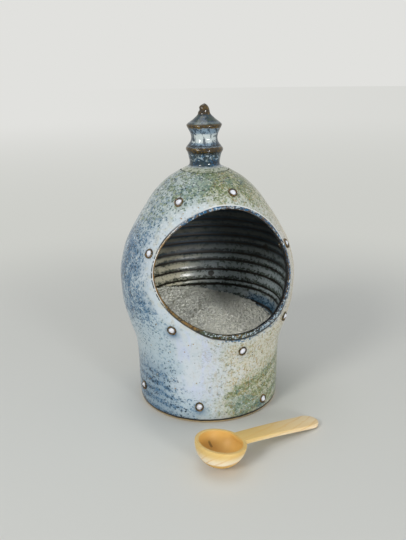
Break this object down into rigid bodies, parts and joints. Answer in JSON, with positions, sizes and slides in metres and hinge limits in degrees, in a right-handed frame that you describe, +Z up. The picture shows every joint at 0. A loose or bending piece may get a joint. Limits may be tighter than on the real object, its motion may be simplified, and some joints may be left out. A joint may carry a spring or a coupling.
{
  "type": "salt pig",
  "caption": "Thrown stoneware salt pig with a domed top, slanted open mouth, turned finial, inlaid studs, a fill of coarse salt and a loose wooden spoon.",
  "frame": {"origin": "centre of the foot's flat underside, where the jar stands", "axes": "+Z up the jar's axis to the finial; the mouth faces -Y; +X is to the right of someone who looks into the mouth"},
  "size_m": [0.11, 0.1542, 0.1886],
  "materials": {
    "glazed_stoneware": "blue, green and cream mottled reactive glaze, semi-gloss, breaking brown at edges",
    "finial_glaze": "glossy amber-brown rings over mottled dark blue",
    "stud_glaze": "glossy brown",
    "white_porcelain": "glossy white",
    "coarse_salt": "translucent grey-white grains",
    "pale_wood": "fine sanded, unvarnished"
  },
  "bodies": {
    "salt_jar": {"jar": "glazed_stoneware", "finial": "finial_glaze", "salt_fill": "coarse_salt", "mouth_stud_1": "stud_glaze", "mouth_stud_2": "stud_glaze", "mouth_stud_3": "stud_glaze", "mouth_stud_4": "stud_glaze", "mouth_stud_5": "stud_glaze", "mouth_stud_6": "stud_glaze", "mouth_stud_7": "stud_glaze", "foot_stud_1": "stud_glaze", "foot_stud_2": "stud_glaze", "foot_stud_3": "stud_glaze", "foot_stud_4": "stud_glaze", "foot_stud_5": "stud_glaze", "foot_stud_6": "stud_glaze", "back_stud_1": "stud_glaze", "back_stud_2": "stud_glaze", "back_stud_3": "stud_glaze", "back_stud_4": "stud_glaze", "mouth_stud_1_bead": "white_porcelain", "mouth_stud_2_bead": "white_porcelain", "mouth_stud_3_bead": "white_porcelain", "mouth_stud_4_bead": "white_porcelain", "mouth_stud_5_bead": "white_porcelain", "mouth_stud_6_bead": "white_porcelain", "mouth_stud_7_bead": "white_porcelain", "foot_stud_1_bead": "white_porcelain", "foot_stud_2_bead": "white_porcelain", "foot_stud_3_bead": "white_porcelain", "foot_stud_4_bead": "white_porcelain", "foot_stud_5_bead": "white_porcelain", "foot_stud_6_bead": "white_porcelain", "back_stud_1_bead": "white_porcelain", "back_stud_2_bead": "white_porcelain", "back_stud_3_bead": "white_porcelain", "back_stud_4_bead": "white_porcelain"},
    "salt_spoon": {"spoon": "pale_wood"}
  },
  "joints": [
    {"name": "spoon_lift", "type": "slide", "parent": "salt_jar", "child": "salt_spoon", "axis": [0, 0, 1], "range_m": [0, 0.12]}
  ]
}
